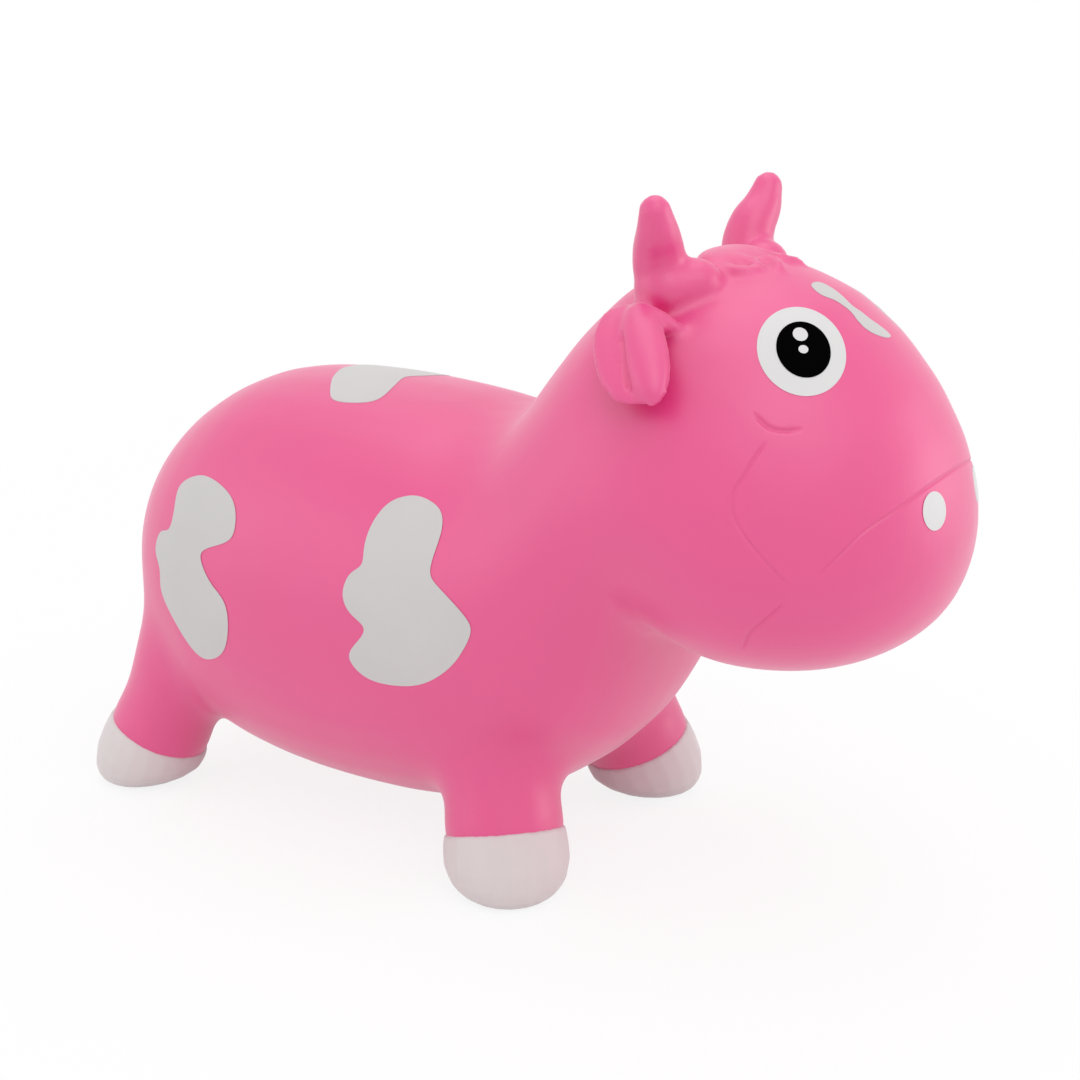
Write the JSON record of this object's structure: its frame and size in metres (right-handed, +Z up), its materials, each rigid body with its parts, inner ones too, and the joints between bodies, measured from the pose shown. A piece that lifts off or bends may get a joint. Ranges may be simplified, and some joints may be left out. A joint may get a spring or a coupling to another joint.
{
  "type": "bouncy ride-on animal",
  "caption": "Bouncy ride-on cow: a hollow air-filled PVC body with splayed legs, big round head, horns, drooping ears, painted eyes and patches, and an air valve.",
  "frame": {"origin": "on the floor under the middle of the toy", "axes": "+X towards the nose, +Y towards the cow's left, +Z up"},
  "size_m": [0.6026, 0.2702, 0.4408],
  "materials": {
    "skin_pink": "satin",
    "hoof_white": "satin",
    "patch_grey": "satin",
    "paint_white": "satin",
    "paint_black": "gloss",
    "valve_white": "satin"
  },
  "bodies": {
    "feet": {"hoof_front_right": "hoof_white", "hoof_front_left": "hoof_white", "hoof_rear_right": "hoof_white", "hoof_rear_left": "hoof_white", "leg_front_right": "skin_pink", "leg_front_left": "skin_pink", "leg_rear_right": "skin_pink", "leg_rear_left": "skin_pink"},
    "trunk": {"torso_shell": "skin_pink", "neck_shell": "skin_pink", "patch_back": "patch_grey", "patch_flank_right": "patch_grey", "patch_flank_left": "patch_grey", "patch_haunch_right": "patch_grey", "patch_haunch_left": "patch_grey", "valve_seat": "valve_white"},
    "head": {"head_shell": "skin_pink", "hair_tuft": "skin_pink", "patch_forehead": "patch_grey", "horn_root_right": "skin_pink", "ear_root_right": "skin_pink", "eye_white_right": "paint_white", "eye_pupil_right": "paint_black", "eye_glint_large_right": "paint_white", "eye_glint_small_right": "paint_white", "nostril_right": "paint_white", "horn_root_left": "skin_pink", "ear_root_left": "skin_pink", "eye_white_left": "paint_white", "eye_pupil_left": "paint_black", "eye_glint_large_left": "paint_white", "eye_glint_small_left": "paint_white", "nostril_left": "paint_white"},
    "horn_right": {"horn_right": "skin_pink"},
    "horn_left": {"horn_left": "skin_pink"},
    "ear_right": {"ear_right": "skin_pink"},
    "ear_left": {"ear_left": "skin_pink"},
    "plug": {"valve_plug": "valve_white"}
  },
  "joints": [
    {"name": "bounce", "type": "slide", "parent": "feet", "child": "trunk", "axis": [0, 0, -1], "range_m": [0, 0.016], "stiffness_N_per_m": 6500, "springref_m": -0.004, "deforming": ["leg_front_right", "leg_front_left", "leg_rear_right", "leg_rear_left"]},
    {"name": "head_nod", "type": "hinge", "parent": "trunk", "child": "head", "pos_m": [0.06038, 0, 0.19987], "axis": [0, 1, 0], "range_deg": [-5, 5], "stiffness_Nm_per_rad": 100, "springref_deg": -0.57, "deforming": ["neck_shell"]},
    {"name": "horn_bend_right", "type": "hinge", "parent": "head", "child": "horn_right", "pos_m": [0.13013, -0.05367, 0.38576], "axis": [-0.7348, -0.6779, -0.0222], "range_deg": [-8, 8], "stiffness_Nm_per_rad": 3},
    {"name": "horn_bend_left", "type": "hinge", "parent": "head", "child": "horn_left", "pos_m": [0.13013, 0.05367, 0.38576], "axis": [-0.7348, 0.6779, -0.0222], "range_deg": [-8, 8], "stiffness_Nm_per_rad": 3},
    {"name": "ear_flap_right", "type": "hinge", "parent": "head", "child": "ear_right", "pos_m": [0.13564, -0.08407, 0.3673], "axis": [-0.96, -0.28, 0], "range_deg": [0, 20], "stiffness_Nm_per_rad": 0.6, "springref_deg": -2.86},
    {"name": "ear_flap_left", "type": "hinge", "parent": "head", "child": "ear_left", "pos_m": [0.13564, 0.08407, 0.3673], "axis": [0.96, -0.28, 0], "range_deg": [0, 20], "stiffness_Nm_per_rad": 0.6, "springref_deg": -2.86},
    {"name": "valve_plug_pull", "type": "slide", "parent": "trunk", "child": "plug", "axis": [-0.9805, 0, -0.1968], "range_m": [0, 0.008]}
  ]
}
